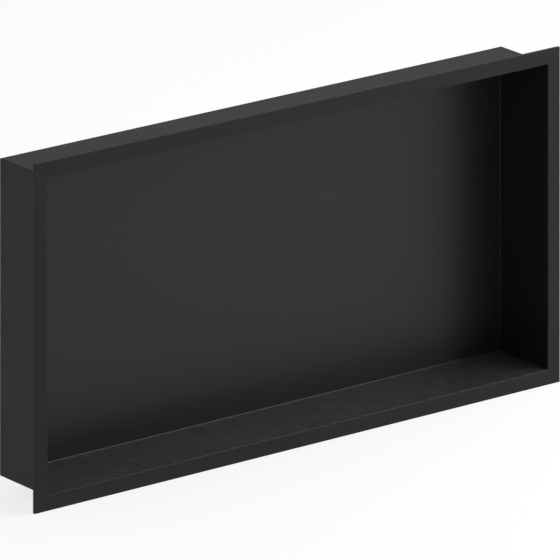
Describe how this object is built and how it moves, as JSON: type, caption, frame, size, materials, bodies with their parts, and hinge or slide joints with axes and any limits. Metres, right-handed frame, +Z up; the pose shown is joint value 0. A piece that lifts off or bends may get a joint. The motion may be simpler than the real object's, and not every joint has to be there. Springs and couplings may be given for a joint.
{
  "type": "recessed shower niche",
  "caption": "Open-fronted rectangular tray of thin sheet with a flat flange round its mouth, coated satin black, set into a shower wall as a shelf for bottles and soap.",
  "frame": {"origin": "middle of the mouth, in the plane of the finished wall that the back of the flange lies on", "axes": "+X along the length, to the right as seen from the room; +Y into the wall, so the mouth faces -Y; +Z up"},
  "size_m": [0.63, 0.078, 0.33],
  "materials": {
    "black_coat": "satin black coat on sheet steel"
  },
  "bodies": {
    "root": {"niche": "black_coat"}
  },
  "joints": []
}
